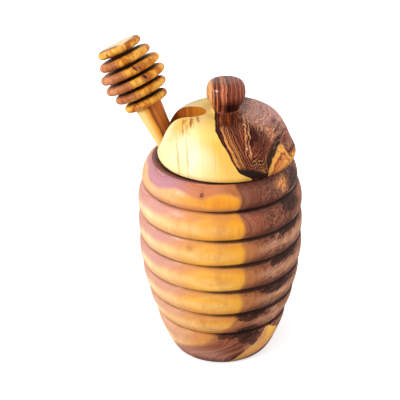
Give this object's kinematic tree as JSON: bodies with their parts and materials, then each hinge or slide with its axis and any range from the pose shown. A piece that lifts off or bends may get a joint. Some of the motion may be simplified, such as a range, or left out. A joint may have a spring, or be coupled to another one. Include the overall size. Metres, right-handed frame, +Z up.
{
  "type": "honey pot",
  "caption": "Turned olive wood honey pot with a ribbed barrel jar, a loose domed lid with a knob and an open side notch, and a turned dipper that leans in the notch.",
  "frame": {"origin": "centre of the jar's flat underside", "axes": "+Z up along the jar's turning axis, -Y towards the camera of the picture, +X to the picture's right"},
  "size_m": [0.0965, 0.08, 0.1601],
  "materials": {
    "jar_wood": "oiled",
    "lid_wood": "oiled",
    "dipper_wood": "oiled"
  },
  "bodies": {
    "jar": {"jar": "jar_wood"},
    "lid": {"lid": "lid_wood"},
    "dipper": {"dipper": "dipper_wood"}
  },
  "joints": [
    {"name": "lid_lift", "type": "slide", "parent": "jar", "child": "lid", "axis": [0, 0, 1], "range_m": [0, 0.11]},
    {"name": "dipper_pull", "type": "slide", "parent": "lid", "child": "dipper", "axis": [-0.419, 0.1866, 0.8886], "range_m": [0, 0.125]}
  ]
}
